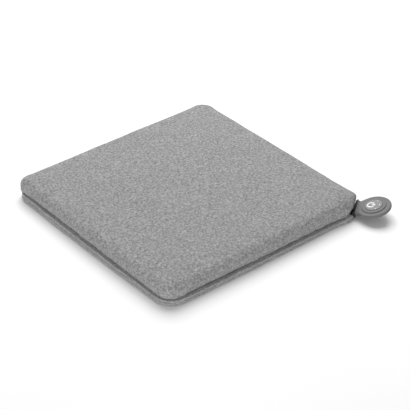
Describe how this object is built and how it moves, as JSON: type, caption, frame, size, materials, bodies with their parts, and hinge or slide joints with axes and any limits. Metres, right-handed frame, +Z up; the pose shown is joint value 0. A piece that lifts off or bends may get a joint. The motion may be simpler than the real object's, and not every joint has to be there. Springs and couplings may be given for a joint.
{
  "type": "heated seat cushion",
  "caption": "Square padded felt seat cushion with a rolled edge, a seam welt, a back zip and a round rubber control tab with a press button at one corner.",
  "frame": {"origin": "centre of the pad's underside, on the surface that it rests on", "axes": "+Z up out of the seat side; -Y front edge and -X left edge; the control tab leaves the +X -Y corner along the diagonal"},
  "size_m": [0.447, 0.4571, 0.04],
  "materials": {
    "felt_cover": "matte",
    "felt_welt": "matte",
    "base_fabric": "matte",
    "label_satin": "satin",
    "collar_black": "matte",
    "anchor_plastic": "matte",
    "zip_tape_weave": "matte",
    "zip_teeth_plastic": "satin",
    "zip_metal": "satin",
    "foam_firm": "matte",
    "foam_soft": "matte",
    "carrier_textile": "matte",
    "carbon_ribbon": "matte",
    "lead_insulation": "satin",
    "cutout_case": "gloss",
    "sensor_film": "gloss",
    "battery_case_plastic": "matte",
    "screw_steel": "satin",
    "cell_can": "satin",
    "nickel_strip": "satin",
    "board_laminate": "satin",
    "chip_black": "matte",
    "cable_jacket": "satin",
    "tab_rubber": "matte",
    "switch_plastic": "matte",
    "led_lens": "gloss",
    "socket_steel": "satin",
    "tongue_plastic": "matte",
    "button_rubber": "matte",
    "symbol_white": "satin",
    "window_clear": "satin"
  },
  "bodies": {
    "cushion": {"cover_top_panel": "felt_cover", "cover_base_panel": "base_fabric", "seam_welt": "felt_welt", "care_label": "label_satin", "slot_collar": "collar_black", "anchor_plate": "anchor_plastic", "zip_tape": "zip_tape_weave", "zip_chain": "zip_teeth_plastic", "zip_stops": "zip_metal", "foam_core": "foam_firm", "foam_topper": "foam_soft", "heater_carrier": "carrier_textile", "heater_ribbon": "carbon_ribbon", "heater_leads": "lead_insulation", "thermal_cutout": "cutout_case", "temperature_sensor": "sensor_film", "sensor_lead": "lead_insulation", "battery_case_lower": "battery_case_plastic", "battery_case_upper": "battery_case_plastic", "battery_screws": "screw_steel", "battery_cells": "cell_can", "cell_strips": "nickel_strip", "battery_board": "board_laminate", "battery_board_parts": "chip_black", "cushion_cable": "cable_jacket"},
    "control_tab": {"tab_upper_shell": "tab_rubber", "tab_lower_shell": "tab_rubber", "tab_screws": "screw_steel", "control_board": "board_laminate", "power_switch": "switch_plastic", "board_leds": "led_lens", "board_chips": "chip_black", "charging_socket": "socket_steel", "socket_tongue": "tongue_plastic", "tab_cable": "cable_jacket"},
    "power_button": {"button_cap": "button_rubber", "power_symbol": "symbol_white", "level_windows": "window_clear"},
    "zip_slider_body": {"zip_slider": "zip_metal"},
    "zip_pull_body": {"zip_pull": "zip_metal"}
  },
  "joints": [
    {"name": "tab_flex", "type": "hinge", "parent": "cushion", "child": "control_tab", "pos_m": [0.1975, -0.1975, 0.0106], "axis": [-0.818, -0.5728, -0.0523], "range_deg": [-15, 36], "stiffness_Nm_per_rad": 0.6},
    {"name": "button_press", "type": "slide", "parent": "control_tab", "child": "power_button", "axis": [0.1785, -0.1662, -0.9698], "range_m": [0, 0.00045], "stiffness_N_per_m": 2500},
    {"name": "zip_slide", "type": "slide", "parent": "cushion", "child": "zip_slider_body", "axis": [-1, 0, 0], "range_m": [0, 0.288]},
    {"name": "pull_swing", "type": "hinge", "parent": "zip_slider_body", "child": "zip_pull_body", "pos_m": [0.144, 0.2061, 0.0072], "axis": [0, 0, -1], "range_deg": [0, 175]}
  ]
}
